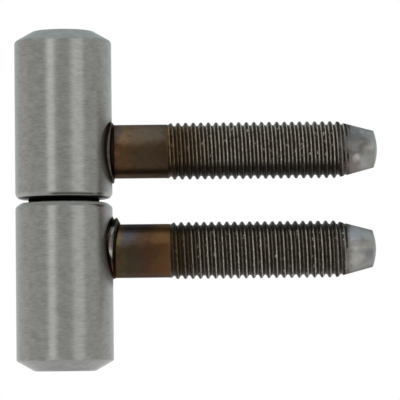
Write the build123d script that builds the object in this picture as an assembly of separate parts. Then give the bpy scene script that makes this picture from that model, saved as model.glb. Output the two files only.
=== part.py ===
from build123d import *
import math
import os

# A two-part screw-in hinge, in millimetres. The hinge axis is +Z and both studs point along +X.
# The origin is on the hinge axis, half way between the inner faces of the two barrels.
# The frame half is the lower one, and carries the pin. The door half lifts off it.

# Barrels: turned bar with a wide chamfer at the outer end and a broken edge at the inner end.
# The door barrel's shoulder, below its chamfer, is broken too, and the frame barrel's is sharp.
barrel_diameter = 20.0
barrel_length = 34.6
chamfer_width = 3.75
chamfer_height = 2.15
door_shoulder_break = 0.5
door_edge_width = 0.75
door_edge_height = 0.8
frame_edge_width = 1.25
frame_edge_height = 0.9

# Bearing: a pin pressed into the frame barrel, a loose washer, and a blind bore in the door barrel
pin_diameter = 10.0
pin_seat_depth = 21.0
pin_engagement = 22.0
pin_end_room = 1.2
pin_running_clearance = 0.05
pin_foot_chamfer = 0.5
pin_lead_width = 0.9
pin_lead_height = 1.5
bore_mouth_chamfer = 0.5
drill_point_angle = 118.0
washer_diameter = 14.6
washer_thickness = 0.8
washer_clearance = 0.15

# Studs: offsets are from the barrel's inner face to the stud's axis, reaches from the hinge axis to the tip,
# and stations along a stud are from its tip
door_stud_offset = 9.65
frame_stud_offset = 10.05
door_stud_reach = 64.6
frame_stud_reach = 64.15
shank_diameter = 11.07
thread_diameter = 11.9
thread_end_to_tip = 42.35
thread_shoulder = 0.6
taper_length = 8.5
tip_diameter = 7.5
tip_edge_width = 1.0
tip_edge_height = 0.55

# Weld flash: a ring upset between a barrel and its stud, a little off the stud's centre
door_flash_diameter = 12.3
door_flash_lift = -0.2
door_flash_land = 0.5
door_flash_slope = 0.35
door_flash_foot = 5.0
frame_flash_diameter = 12.7
frame_flash_lift = 0.65
frame_flash_land = 0.85
frame_flash_slope = 1.0
frame_flash_foot = 4.6

# Worked out from the sizes above
barrel_radius = barrel_diameter / 2
pin_radius = pin_diameter / 2
inner_face = washer_thickness / 2
door_stud_height = inner_face + door_stud_offset
frame_stud_height = -inner_face - frame_stud_offset
door_bore_radius = pin_radius + pin_running_clearance
door_bore_depth = pin_engagement + pin_end_room


def turned(outline):
    """Turns a closed outline, drawn as (radius, height), about the Z axis."""
    return revolve(make_face(Plane.XZ * outline), axis=Axis.Z)


def along_x(shape, height):
    """Lays a shape that was turned about Z along +X, at a height above the origin."""
    return Pos(0, 0, height) * Rot(0, 90, 0) * shape


def drilled_hole(radius, depth):
    """A blind hole that opens at z = 0 and goes up, with the cone that a drill leaves at its end."""
    point_height = radius / math.tan(math.radians(drill_point_angle / 2))
    outline = Polyline(
        (0, 0),
        (radius + bore_mouth_chamfer, 0),
        (radius, bore_mouth_chamfer),
        (radius, depth),
        (0, depth + point_height),
        close=True,
    )
    return turned(outline)


def barrel(edge_width, edge_height, shoulder, bore):
    """A barrel that stands on its inner face at z = 0. Its shoulder is given as (radius, height) points."""
    outline = Polyline(
        (0, 0),
        (barrel_radius - edge_width, 0),
        (barrel_radius, edge_height),
        *shoulder,
        (barrel_radius - chamfer_width, barrel_length),
        (0, barrel_length),
        close=True,
    )
    return turned(outline) - bore


def door_barrel():
    """The upper barrel, whose bore runs on the pin."""
    along_chamfer = door_shoulder_break / math.hypot(chamfer_width, chamfer_height)
    shoulder = [
        (barrel_radius, barrel_length - chamfer_height - door_shoulder_break),
        (
            barrel_radius - chamfer_width * along_chamfer,
            barrel_length - chamfer_height * (1 - along_chamfer),
        ),
    ]
    bore = drilled_hole(door_bore_radius, door_bore_depth)
    return Pos(0, 0, inner_face) * barrel(door_edge_width, door_edge_height, shoulder, bore)


def frame_barrel():
    """The lower barrel, turned upside down, whose bore holds the pin without clearance."""
    shoulder = [(barrel_radius, barrel_length - chamfer_height)]
    bore = drilled_hole(pin_radius, pin_seat_depth)
    upright = barrel(frame_edge_width, frame_edge_height, shoulder, bore)
    return Pos(0, 0, -inner_face) * Rot(180, 0, 0) * upright


def hinge_pin():
    """The pin, from the bottom of the frame barrel's bore to its lead-in in the door barrel."""
    foot = -inner_face - pin_seat_depth
    top = inner_face + pin_engagement
    outline = Polyline(
        (0, foot),
        (pin_radius - pin_foot_chamfer, foot),
        (pin_radius, foot + pin_foot_chamfer),
        (pin_radius, top - pin_lead_height),
        (pin_radius - pin_lead_width, top),
        (0, top),
        close=True,
    )
    return turned(outline)


def thrust_washer():
    """The washer that fills the gap between the barrels and hangs loose round the pin."""
    hole = Circle(pin_radius + washer_clearance)
    return extrude(Circle(washer_diameter / 2) - hole, inner_face, both=True)


def stud_blank(reach):
    """A stud turned about Z, from z = 0 to its tip, with its thread as a plain outer cylinder."""
    shank_radius = shank_diameter / 2
    thread_radius = thread_diameter / 2
    tip_radius = tip_diameter / 2
    thread_end = reach - thread_end_to_tip
    outline = Polyline(
        (0, 0),
        (shank_radius, 0),
        (shank_radius, thread_end),
        (thread_radius, thread_end + thread_shoulder),
        (thread_radius, reach - taper_length),
        (tip_radius, reach - tip_edge_height),
        (tip_radius - tip_edge_width, reach),
        (0, reach),
        close=True,
    )
    return turned(outline)


def barrel_envelope():
    """The outside of both barrels as one plain cylinder, which studs and welds are seated on."""
    return Cylinder(barrel_radius, 2 * (inner_face + barrel_length))


def stud(reach, height):
    """A stud whose inner end is hollowed to sit on the round barrel."""
    return along_x(stud_blank(reach), height) - barrel_envelope()


def weld_flash(flash_diameter, lift, land, slope, foot, height):
    """The saddle-shaped ring of upset metal round the joint of a stud and its barrel."""
    flash_radius = flash_diameter / 2
    land_end = barrel_radius + land
    slope_end = land_end + slope
    outline = Polyline(
        (0, 0),
        (flash_radius, 0),
        (flash_radius, land_end),
        (foot, slope_end),
        (0, slope_end),
        close=True,
    )
    ring = along_x(turned(outline), height + lift)
    shank = along_x(extrude(Circle(shank_diameter / 2), slope_end + land), height)
    return ring - shank - barrel_envelope()


def door_stud_weld():
    """The upper joint's flash, a thin ring that hangs a little below the stud."""
    return weld_flash(
        door_flash_diameter,
        door_flash_lift,
        door_flash_land,
        door_flash_slope,
        door_flash_foot,
        door_stud_height,
    )


def frame_stud_weld():
    """The lower joint's flash, a thicker ring that was pushed up above the stud."""
    return weld_flash(
        frame_flash_diameter,
        frame_flash_lift,
        frame_flash_land,
        frame_flash_slope,
        frame_flash_foot,
        frame_stud_height,
    )


nodes = {
    "door_barrel": door_barrel(),
    "door_stud": stud(door_stud_reach, door_stud_height),
    "door_stud_weld": door_stud_weld(),
    "frame_barrel": frame_barrel(),
    "frame_stud": stud(frame_stud_reach, frame_stud_height),
    "frame_stud_weld": frame_stud_weld(),
    "hinge_pin": hinge_pin(),
    "thrust_washer": thrust_washer(),
}

os.makedirs("parts", exist_ok=True)
for name, solid in nodes.items():
    export_step(solid, f"parts/{name}.step")
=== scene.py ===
"""The looks of a lift-off screw-in hinge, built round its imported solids.

Lengths in the classes are in millimetres, and a finished piece is turned to metres, the scene's own unit.
The hinge axis is +Z, both studs point along +X, and the camera looks along +Y.
"""

import sys

import logging
import math
from collections.abc import Callable, Sequence
from dataclasses import dataclass
from enum import Enum
from functools import cached_property
from itertools import pairwise

import bmesh
import bpy
from mathutils import Matrix, Vector, noise


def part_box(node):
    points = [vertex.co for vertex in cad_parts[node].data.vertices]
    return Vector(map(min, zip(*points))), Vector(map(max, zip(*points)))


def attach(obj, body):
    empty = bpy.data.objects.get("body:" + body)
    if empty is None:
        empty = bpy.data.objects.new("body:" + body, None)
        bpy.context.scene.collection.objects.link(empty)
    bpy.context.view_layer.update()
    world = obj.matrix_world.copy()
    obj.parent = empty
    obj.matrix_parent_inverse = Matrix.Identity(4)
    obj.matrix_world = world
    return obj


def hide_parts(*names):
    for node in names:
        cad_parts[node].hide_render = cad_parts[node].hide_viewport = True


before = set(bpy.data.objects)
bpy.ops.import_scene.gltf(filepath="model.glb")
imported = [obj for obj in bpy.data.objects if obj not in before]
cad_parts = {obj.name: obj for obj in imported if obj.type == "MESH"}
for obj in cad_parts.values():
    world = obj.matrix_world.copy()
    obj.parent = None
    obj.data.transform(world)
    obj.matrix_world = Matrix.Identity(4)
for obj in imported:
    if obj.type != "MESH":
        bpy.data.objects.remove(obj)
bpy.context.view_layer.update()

log = logging.getLogger("hinge")

MM = 0.001
FULL_TURN = 2 * math.pi
X_AXIS = Vector((1, 0, 0))
Z_AXIS = Vector((0, 0, 1))

# How close points have to be to be merged, to count as on a cut, and to be found by their place
MERGE_DISTANCE = 0.0005
CUT_DISTANCE = 0.0001
TOLERANCE = 0.01

# What a face shrinks to before it is merged to a point
POINT_SCALE = 0.01

Number = "float | Wire"
Colour = tuple[float, float, float]
Tints = tuple[tuple[float, Colour], ...]

# Where a mask is 0 and where it is 1
Rise = tuple[float, float]


class Body(Enum):
    """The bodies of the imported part."""

    FRAME_HALF = "frame_half"
    WASHER = "washer"
    DOOR_HALF = "door_half"


class Slot(Enum):
    """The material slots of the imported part's record."""

    BARREL = "barrel_steel"
    STUD = "stud_steel"
    WELD = "weld_steel"
    PIN = "pin_steel"
    WASHER = "washer_steel"


def mix(a: float, b: float, share: float) -> float:
    """The number that lies a share of the way from a to b."""
    return a + (b - a) * share


def smooth_step(low: float, high: float, value: float) -> float:
    """0 below low, 1 above high, and a smooth rise between them."""
    share = min(1.0, max(0.0, (value - low) / (high - low)))
    return share * share * (3 - 2 * share)


def linear(red: int, green: int, blue: int) -> Colour:
    """A colour as the shaders take it, from the three numbers that a screen shows.

    Args:
        red: The screen's red, from 0 to 255.
        green: The screen's green.
        blue: The screen's blue.

    Returns:
        The same colour with linear channels, from 0 to 1.
    """

    def channel(value: int) -> float:
        """One channel's linear value."""
        share = value / 255
        return share / 12.92 if share <= 0.04045 else ((share + 0.055) / 1.055) ** 2.4

    return channel(red), channel(green), channel(blue)


def tints(*stops: tuple[float, int, int, int]) -> Tints:
    """A ramp's stops, from their places and the colours that a screen shows there."""
    return tuple((place, linear(*colour)) for place, *colour in stops)


def towards(azimuth: float, elevation: float) -> Vector:
    """The direction from the hinge at an azimuth from its front and an elevation, in degrees."""
    a, e = math.radians(azimuth), math.radians(elevation)
    return Vector((math.sin(a) * math.cos(e), -math.cos(a) * math.cos(e), math.sin(e)))


def node_box(node: str) -> tuple[Vector, Vector]:
    """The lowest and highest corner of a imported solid, in millimetres."""
    low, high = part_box(node)
    return low / MM, high / MM


@dataclass(frozen=True)
class Grain:
    """Soft noise, by the size of its spots along X, Y and Z, its finer layers, and what tells it apart."""

    size: tuple[float, float, float]
    detail: float = 2.0
    shift: float = 0.0


@dataclass(frozen=True)
class Wire:
    """An output in a node tree that Python's operators work on, each by a Math node."""

    graph: "Graph"
    socket: bpy.types.NodeSocket

    def _math(self, operation: str, *values: Number) -> "Wire":
        """A Math node on the values."""
        return self.graph.node("ShaderNodeMath", {"operation": operation}, dict(enumerate(values)))

    def __add__(self, other: Number) -> "Wire":
        """self + other."""
        return self._math("ADD", self, other)

    def __radd__(self, other: Number) -> "Wire":
        """other + self."""
        return self._math("ADD", other, self)

    def __sub__(self, other: Number) -> "Wire":
        """self - other."""
        return self._math("SUBTRACT", self, other)

    def __rsub__(self, other: Number) -> "Wire":
        """other - self."""
        return self._math("SUBTRACT", other, self)

    def __mul__(self, other: Number) -> "Wire":
        """self * other."""
        return self._math("MULTIPLY", self, other)

    def __rmul__(self, other: Number) -> "Wire":
        """other * self."""
        return self._math("MULTIPLY", other, self)

    def __truediv__(self, other: Number) -> "Wire":
        """self / other."""
        return self._math("DIVIDE", self, other)

    def __pow__(self, other: Number) -> "Wire":
        """self to the power of other."""
        return self._math("POWER", self, other)

    def step(self, low: float, high: float) -> "Wire":
        """0 at low, 1 at high and a smooth rise or fall between them."""
        values = {"Value": self, "From Min": low, "From Max": high}
        return self.graph.node("ShaderNodeMapRange", {"interpolation_type": "SMOOTHSTEP"}, values)

    def angle_from(self, other: "Wire") -> "Wire":
        """The angle of the point (other, self), in turns."""
        return self._math("ARCTAN2", self, other) / FULL_TURN

    def fraction(self) -> "Wire":
        """What is above the whole number below."""
        return self._math("FRACT", self)

    def near(self, middle: Number, reach: float) -> "Wire":
        """1 at the middle, and 0 from a reach away from it on."""
        return self._math("ABSOLUTE", self - middle).step(reach, 0.0)


class Graph:
    """A node tree with short ways to add nodes to it."""

    def __init__(self, tree: bpy.types.NodeTree) -> None:
        """Takes a tree and empties it."""
        self.tree = tree
        tree.nodes.clear()

    def node(
        self,
        kind: str,
        settings: dict | None = None,
        values: dict | None = None,
        output: int | str = 0,
    ) -> Wire | None:
        """Adds a node.

        Args:
            kind: The node's type.
            settings: Its settings, set first. A ramp's stops are given as color_ramp.
            values: What its sockets get, by name or number: a value or a wire.
            output: Which of its outputs is wanted.

        Returns:
            That output, or None from a node that ends the tree.
        """
        made = self.tree.nodes.new(kind)
        for key, value in (settings or {}).items():
            if key == "color_ramp":
                self._set_stops(made.color_ramp, value)
            else:
                setattr(made, key, value)
        for key, value in (values or {}).items():
            if isinstance(value, Wire):
                self.tree.links.new(value.socket, made.inputs[key])
            else:
                made.inputs[key].default_value = value
        return Wire(self, made.outputs[output]) if made.outputs else None

    @staticmethod
    def _set_stops(ramp: bpy.types.ColorRamp, stops: Tints) -> None:
        """Gives a colour ramp its stops.

        Args:
            ramp: The ramp, with Blender's own stops.
            stops: The places and colours of its new ones.
        """
        while len(ramp.elements) > 1:
            ramp.elements.remove(ramp.elements[-1])
        for number, (place, colour) in enumerate(stops):
            stop = ramp.elements[0] if number == 0 else ramp.elements.new(place)
            stop.position = place
            stop.color = (*colour, 1.0)

    def place(self) -> tuple[Wire, Wire, Wire, Wire]:
        """The point that is shaded, in millimetres.

        Returns:
            The point as one vector, and its x, y and z.
        """
        metres = self.node("ShaderNodeTexCoord", output="Object")
        point = self.node("ShaderNodeVectorMath", {"operation": "SCALE"}, {0: metres, "Scale": 1 / MM})
        return point, *self.parts(point)

    def parts(self, vector: Wire) -> tuple[Wire, ...]:
        """The x, y and z of a vector."""
        return tuple(self.node("ShaderNodeSeparateXYZ", values={0: vector}, output=i) for i in range(3))

    def noise(self, point: Wire, grain: Grain, seed: float = 0.0) -> Wire:
        """Soft noise round 0.5.

        Args:
            point: Where it is read, in millimetres.
            grain: Its size and kind.
            seed: What makes it another noise on another piece.

        Returns:
            The noise, from 0 to 1.
        """
        scales = tuple(1 / size for size in grain.size)
        shift = (seed + grain.shift,) * 3
        stretched = self.node("ShaderNodeVectorMath", {"operation": "MULTIPLY"}, {0: point, 1: scales})
        shifted = self.node("ShaderNodeVectorMath", {"operation": "ADD"}, {0: stretched, 1: shift})
        values = {"Vector": shifted, "Scale": 1.0, "Detail": grain.detail}
        return self.node("ShaderNodeTexNoise", values=values)

    def blend(self, share: Number, a: Colour | Wire, b: Colour | Wire) -> Wire:
        """Mixes two colours.

        Args:
            share: How much of b there is.
            a: The colour underneath.
            b: The colour that comes over it.

        Returns:
            The mixed colour.
        """
        colours = {6: a, 7: b}
        values = {key: c if isinstance(c, Wire) else (*c, 1.0) for key, c in colours.items()}
        return self.node("ShaderNodeMix", {"data_type": "RGBA"}, {0: share, **values}, output=2)

    def ramp(self, share: Wire, stops: Tints) -> Wire:
        """The colour of a ramp at a share of its length."""
        return self.node("ShaderNodeValToRGB", {"color_ramp": stops}, {0: share})


@dataclass(frozen=True)
class Finish:
    """What all finishes have: a name, and the shader that they end in."""

    name: str

    def material(self) -> bpy.types.Material:
        """Makes a material with this finish.

        Returns:
            The new material.
        """
        made = bpy.data.materials.new(self.name)
        made.use_nodes = True
        self.lay(Graph(made.node_tree))
        return made

    def lay(self, graph: Graph) -> None:
        """Adds the finish's nodes to a material's tree."""
        raise NotImplementedError

    @staticmethod
    def metal(
        graph: Graph,
        colour: Wire,
        roughness: Number,
        height: Wire,
        depth: float,
        settings: dict,
    ) -> None:
        """Ends a tree in a metal.

        Args:
            graph: The material's nodes.
            colour: Its colour.
            roughness: Its roughness.
            height: Its relief, from 0 to 1.
            depth: How deep that relief is, in millimetres.
            settings: What the shader's other sockets get, by name.
        """
        bumps = {"Height": height, "Distance": depth * MM, "Strength": 1.0}
        relief = graph.node("ShaderNodeBump", values=bumps)
        sockets = {"Base Color": colour, "Roughness": roughness, "Normal": relief, "Metallic": 1.0}
        steel = graph.node("ShaderNodeBsdfPrincipled", values=sockets | settings)
        graph.node("ShaderNodeOutputMaterial", values={"Surface": steel})


@dataclass(frozen=True)
class GroundSteel(Finish):
    """Steel ground round its axis: satin, with fine lines and soft marks, a heat tint with painted shade
    beside its weld, a painted highlight on its inner edges, and painted shade under the door barrel's rim
    with a darker band above it.

    The edge_fade and bored_from fields are for the square of the height, so they count on both barrels.
    """

    stud_height: float = 0.0
    bore_radius: float = 5.2
    bore_blur: float = 0.15
    bored_from: Rise = (1000.0, 900.0)
    light: Colour = linear(172, 171, 168)
    dark: Colour = linear(142, 142, 140)
    edge: Colour = linear(172, 170, 166)
    heat_tint_and_shade: Colour = linear(58, 50, 44)
    bore: Colour = linear(96, 92, 86)
    # Near black, for the painted shade on the door barrel's underside above the gap
    gap_shade: Colour = linear(16, 14, 12)
    line_grain: Grain = Grain((1.4, 1.4, 0.2))
    cloud_grain: Grain = Grain((1.8, 1.8, 1.2), shift=3)
    line_contrast: float = 1.7
    cloud_contrast: float = 1.1
    edge_fade: Rise = (1.4, 0.8)
    edge_dull: float = 0.0
    dark_band_height: float = 1.05
    dark_band_reach: float = 0.42
    dark_band_left: Rise = (-3.2, -1.4)
    dark_band_right: Rise = (7.0, 5.8)
    dark_band_strength: float = 0.85
    gap_shade_start: Rise = (0.1, 0.2)
    gap_shade_end: Rise = (0.78, 0.62)
    halo_side: float = 7.7
    halo_below: float = 8.4
    low_side: Rise = (-1.0, -5.0)
    halo_fade: Rise = (0.0, 2.1)
    halo_front: Rise = (3.0, 6.0)
    halo_strength: float = 0.5
    halo_cloud: float = 0.4
    halo_dull: float = 1.15
    roughness: float = 0.36
    edge_rough: float = 0.1
    halo_rough: float = 0.3
    line_rough: float = 0.12
    cloud_rough: float = 0.08
    relief: float = 0.005
    seed: float = 0.0

    def lay(self, graph: Graph) -> None:
        """Adds the ground steel's nodes.

        Args:
            graph: The material's nodes.
        """
        point, x, y, z = graph.place()
        lines = graph.noise(point, self.line_grain, self.seed)
        clouds = graph.noise(point, self.cloud_grain, self.seed)
        tone = 0.5 + (lines - 0.5) * self.line_contrast + (clouds - 0.5) * self.cloud_contrast
        steel = graph.blend(tone, self.dark, self.light)
        # Painted highlight: the rounded inner edges of both barrels are painted paler, for the light that
        # they catch
        edge = (z * z).step(*self.edge_fade)
        steel = graph.blend(edge, steel, self.edge)
        # A darker band round the door barrel's rounded inner edge, at a height of about 1 mm, from about x =
        # -2 to 6.5 mm
        line = z.near(self.dark_band_height, self.dark_band_reach)
        dark_band_span = x.step(*self.dark_band_left) * x.step(*self.dark_band_right)
        steel = graph.blend(line * dark_band_span * self.dark_band_strength, steel, self.heat_tint_and_shade)
        # Painted shade: the door barrel's rounded underside above the gap is painted near black, where it
        # lies in shadow
        steel = graph.blend(z.step(*self.gap_shade_start) * z.step(*self.gap_shade_end), steel, self.gap_shade)
        # Heat tint round the weld, with painted shade from the weld that reaches further below the stud
        halo = self.halo(x, y, z - self.stud_height) * (self.halo_strength + self.halo_cloud * clouds)
        steel = graph.blend(halo, steel, self.heat_tint_and_shade)
        from_axis = (x * x + y * y) ** 0.5
        bored = from_axis.step(self.bore_radius + self.bore_blur, self.bore_radius)
        steel = graph.blend(bored * (z * z).step(*self.bored_from), steel, self.bore)
        gloss = self.roughness + (lines - 0.5) * self.line_rough + (clouds - 0.5) * self.cloud_rough
        gloss = gloss + edge * self.edge_rough + halo * self.halo_rough
        metal = 1 - halo * self.halo_dull - edge * self.edge_dull
        settings = {"Metallic": metal, "Anisotropic": 0.8, "Anisotropic Rotation": 0.25}
        self.metal(graph, steel, gloss, lines, self.relief, settings)

    def halo(self, x: Wire, y: Wire, up: Wire) -> Wire:
        """The burnt zone round the weld: a heat tint, with painted shade from the weld that reaches further
        below the stud.

        Args:
            x: The distance from the hinge axis.
            y: The depth, negative towards the front.
            up: The height above the stud's axis.

        Returns:
            1 beside the weld, and 0 away from it.
        """
        from_stud = (y * y + up * up) ** 0.5
        reach = self.halo_side + (self.halo_below - self.halo_side) * up.step(*self.low_side)
        return (reach - from_stud).step(*self.halo_fade) * x.step(*self.halo_front)


@dataclass(frozen=True)
class Mark:
    """A mark on the front of a stud, by its middle, half its length and height, and its colour. Most are
    smudges; one is painted shade.
    """

    x: float
    up: float
    half_length: float
    half_height: float
    colour: Colour
    strength: float = 0.8
    ragged: float = 2.4
    fade: Rise = (1.5, 0.2)
    back: Rise = (-1.0, 1.0)
    back_weight: float = 3.0

    def over(self, graph: Graph, steel: Wire, x: Wire, y: Wire, up: Wire, patch: Wire) -> Wire:
        """Lays the mark over a colour.

        Args:
            graph: The material's nodes.
            steel: The colour underneath.
            x: The distance from the hinge axis.
            y: The depth, negative towards the front.
            up: The height above the stud's axis.
            patch: A noise that makes its outline uneven.

        Returns:
            The marked colour.
        """
        along = (x - self.x) / self.half_length
        across = (up - self.up) / self.half_height
        away = along * along + across * across + (patch - 0.5) * self.ragged
        away = away + y.step(*self.back) * self.back_weight
        return graph.blend(away.step(*self.fade) * self.strength, steel, self.colour)


@dataclass(frozen=True)
class StudForm:
    """The outline of a threaded stud along +X: radii about its own axis, and places from the hinge axis."""

    node: str
    thread_start: float
    crest_phase: float
    shank_radius: float = 5.535
    crest_radius: float = 5.88
    pitch: float = 1.5646
    crest_round: float = 0.32
    root_round: float = 0.32
    flank_slope: float = 60.0
    arc_steps: int = 4
    run_out: float = 1.6
    taper_length: float = 8.5
    tip_radius: float = 3.76
    tip_round: float = 0.5
    dome_height: float = 0.58
    thread_overrun: float = 0.05

    @cached_property
    def reach(self) -> float:
        """How far the tip is from the hinge axis."""
        _, high = node_box(self.node)
        return high.x

    @cached_property
    def height(self) -> float:
        """The height of the stud's axis."""
        low, high = node_box(self.node)
        return (low.z + high.z) / 2

    @cached_property
    def rim(self) -> float:
        """Where the cone ends and the domed end begins."""
        return self.reach - self.dome_height

    @cached_property
    def slope(self) -> float:
        """How much the cone's radius falls along a millimetre."""
        return (self.crest_radius - self.tip_radius) / (self.taper_length - self.dome_height)

    @cached_property
    def thread_end(self) -> float:
        """Where the cone has taken the last of the thread away."""
        root_radius = min(p.z for p in self.profile())
        return self.rim - (root_radius - self.tip_radius) / self.slope + self.thread_overrun

    def cone(self, x: float) -> float:
        """The radius of the tip's cone at a distance from the hinge axis."""
        return self.tip_radius + self.slope * (self.rim - x)

    def profile(self) -> list[Vector]:
        """One pitch of the thread's outline above the axis, with round crests and roots.

        Returns:
            Its points, from root to root.
        """
        arc_end = math.radians(self.flank_slope)
        crest_half = self.crest_round * math.sin(arc_end)
        root_half = self.root_round * math.sin(arc_end)
        drop_ends = (self.crest_round + self.root_round) * (1 - math.cos(arc_end))
        depth = drop_ends + (self.pitch / 2 - crest_half - root_half) * math.tan(arc_end)
        root_radius = self.crest_radius - depth
        turns = [arc_end * k / self.arc_steps for k in range(self.arc_steps + 1)]
        root_arc = [
            Vector((self.root_round * math.sin(a), 0, root_radius + self.root_round * (1 - math.cos(a))))
            for a in turns
        ]
        crest_arc = [
            Vector((
                self.pitch / 2 - self.crest_round * math.sin(a),
                0,
                self.crest_radius - self.crest_round * (1 - math.cos(a)),
            ))
            for a in reversed(turns)
        ]
        middle = (root_arc[-1] + crest_arc[0]) / 2
        rise = [*root_arc, middle, *crest_arc]
        fall = [Vector((self.pitch - p.x, 0, p.z)) for p in reversed(rise[:-1])]
        return rise + fall


@dataclass(frozen=True)
class StudSteel(Finish):
    """Steel of a threaded stud: heat-tinted shank, thread with dark grooves and crests, and a bare tip."""

    form: StudForm
    tints: Tints
    # Darker copies of the tints, for the painted shade below the stud's axis
    shaded_tints: Tints
    marks: tuple[Mark, ...]
    dim_side: Rise
    weld_end: float = 10.6
    burnt_start: float = 0.6
    burnt_length: float = 12.0
    burnt_flank: Colour = linear(144, 116, 80)
    rust: Colour = linear(118, 76, 54)
    grazing_sheen: Colour = linear(112, 106, 102)
    flank: Colour = linear(196, 187, 174)
    speck: Colour = linear(240, 232, 220)
    groove: Colour = linear(36, 27, 20)
    bare: Colour = linear(158, 157, 156)
    end_face: Colour = linear(150, 151, 149)
    smudge: Colour = linear(104, 99, 95)
    edge_tint: tuple[float, float, float, float] = (0.45, 0.43, 0.42, 1.0)
    edge_level: float = 0.25
    cloud_grain: Grain = Grain((3.2, 3.2, 2.4), 3)
    patch_grain: Grain = Grain((1.3, 1.3, 1.0), 2, 5)
    fine_grain: Grain = Grain((0.3, 0.5, 0.5), 3, 9)
    worn_grain: Grain = Grain((0.5, 0.9, 0.9), 1, 13)
    turned_grain: Grain = Grain((0.12, 3.0, 3.0), 2, 17)
    speck_grain: Grain = Grain((0.35, 0.4, 0.4), 1, 19)
    smear_grain: Grain = Grain((2.4, 2.4, 1.8), 2, 23)
    crest_dark: Rise = (0.34, 0.22)
    root_dark: Rise = (0.45, 0.57)
    line_shift: float = 0.08
    line_ragged: float = 0.16
    inner_flank_shade: float = 0.0
    dim_strength: float = 0.88
    thread_metal: float = 0.25
    end_metal: float = 0.3
    roughness: float = 0.38
    cloud_rough: float = 0.2
    fine_rough: float = 0.16
    relief: float = 0.02
    seed: float = 0.0

    def lay(self, graph: Graph) -> None:
        """Adds the stud steel's nodes.

        Args:
            graph: The material's nodes.
        """
        point, x, y, z = graph.place()
        form = self.form
        up = z - form.height
        radius = (y * y + up * up) ** 0.5
        cloud = graph.noise(point, self.cloud_grain, self.seed)
        patch = graph.noise(point, self.patch_grain, self.seed)
        fine = graph.noise(point, self.fine_grain, self.seed)
        start = form.thread_start + self.burnt_start
        threaded = x.step(start - 0.15, start + 0.15)
        shank = self.shank(graph, x, up, cloud, patch, fine)
        turn = (0 - y).angle_from(up)
        pitches = (x / form.pitch + (self.line_shift - form.crest_phase) - turn).fraction()
        from_crest = (0.5 - ((pitches - 0.5) ** 2.0) ** 0.5) * form.pitch + (fine - 0.5) * self.line_ragged
        thread = self.thread(graph, point, x, up, from_crest, patch)
        # Painted shade: one flank of every turn is darkened
        thread = graph.blend(pitches.step(0.48, 0.52) * self.inner_flank_shade, thread, self.groove)
        steel = graph.blend(threaded, shank, thread)
        lines = from_crest.step(*self.crest_dark) + from_crest.step(*self.root_dark)
        seam = lines * x.step(form.thread_end + 0.5, form.thread_end - 0.4)
        on_cone = (radius + (x - form.rim) * form.slope - form.tip_radius).step(-0.12, -0.05)
        steel = graph.blend(on_cone * (1 - seam * 0.85), steel, self.tip(graph, point, x))
        for mark in self.marks:
            steel = mark.over(graph, steel, x, y, up, patch)
        end = x.step(form.rim - 0.4, form.rim - 0.1)
        steel = graph.blend(end, steel, self.end_face)
        gloss = self.roughness + (cloud - 0.5) * self.cloud_rough + (fine - 0.5) * self.fine_rough
        metal = (1 - threaded * (1 - on_cone) * (1 - self.thread_metal)) * (1 - end * (1 - self.end_metal))
        settings = {"Metallic": metal, "Specular IOR Level": self.edge_level, "Specular Tint": self.edge_tint}
        self.metal(graph, steel, gloss, fine * 0.5 + patch * 0.5, self.relief, settings)

    def shank(self, graph: Graph, x: Wire, up: Wire, cloud: Wire, patch: Wire, fine: Wire) -> Wire:
        """The heat tints between the weld and the thread, with darker copies below the axis as painted shade.

        Args:
            graph: The material's nodes.
            x: The distance from the hinge axis.
            up: The height above the stud's axis.
            cloud: Large soft noise.
            patch: Smaller noise.
            fine: Fine noise.

        Returns:
            The shank's colour.
        """
        length = self.form.thread_start - self.weld_end
        along = (x + (cloud - 0.5) * 4.0 + (patch - 0.5) * 1.6 - self.weld_end) / length
        # Painted shade: below the stud's axis the tints turn into their darker copies
        below = (up + (cloud - 0.5) * 3.0).step(2.6, 0.2)
        shank = graph.blend(below, graph.ramp(along, self.tints), graph.ramp(along, self.shaded_tints))
        shank = graph.blend(patch.step(0.62, 0.7) * cloud.step(0.5, 0.6) * 0.35, shank, self.rust)
        # Painted sheen: a greyer colour along the top and bottom of the shank, where it is seen at a grazing
        # angle
        shank = graph.blend((up * up).step(16.0, 29.0) * 0.3, shank, self.grazing_sheen)
        shank = graph.blend(patch.step(0.5, 0.8) * 0.3, shank, self.groove)
        return graph.blend((fine - 0.35) * 0.35, shank, self.groove)

    def thread(self, graph: Graph, point: Wire, x: Wire, up: Wire, from_crest: Wire, patch: Wire) -> Wire:
        """Flanks with bright specks between dark grooves and dark crests, brown near the shank and dim near
        the other stud. The dark grooves and crests and the dim side are painted shade, with a painted dark
        reflection.

        Args:
            graph: The material's nodes.
            point: The point that is shaded.
            x: The distance from the hinge axis.
            up: The height above the stud's axis.
            from_crest: The distance from the nearest crest's line.
            patch: Soft noise.

        Returns:
            The thread's colour.
        """
        start = self.form.thread_start + self.burnt_start
        burnt = (x + (patch - 0.5) * 3.0).step(start + self.burnt_length, start + 1.0)
        flank = graph.blend(burnt, self.flank, self.burnt_flank)
        flank = graph.blend(patch.step(0.42, 0.78) * 0.6, flank, self.groove)
        specks = graph.noise(point, self.speck_grain, self.seed).step(0.58, 0.7)
        flank = graph.blend(specks * (1 - burnt) * 0.85, flank, self.speck)
        worn = graph.noise(point, self.worn_grain, self.seed).step(0.62, 0.72)
        # Painted shade and painted dark reflection: the crests and roots are darkened
        thread = graph.blend(from_crest.step(*self.crest_dark) * (1 - worn * 0.5), flank, self.groove)
        thread = graph.blend(from_crest.step(*self.root_dark), thread, self.groove)
        # Painted shade: the side that faces the other stud is darkened, for its shade and its dark reflection
        # of that stud
        dim = (up + (patch - 0.5) * 1.2).step(*self.dim_side) * self.dim_strength
        return graph.blend(dim, thread, self.groove)

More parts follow.
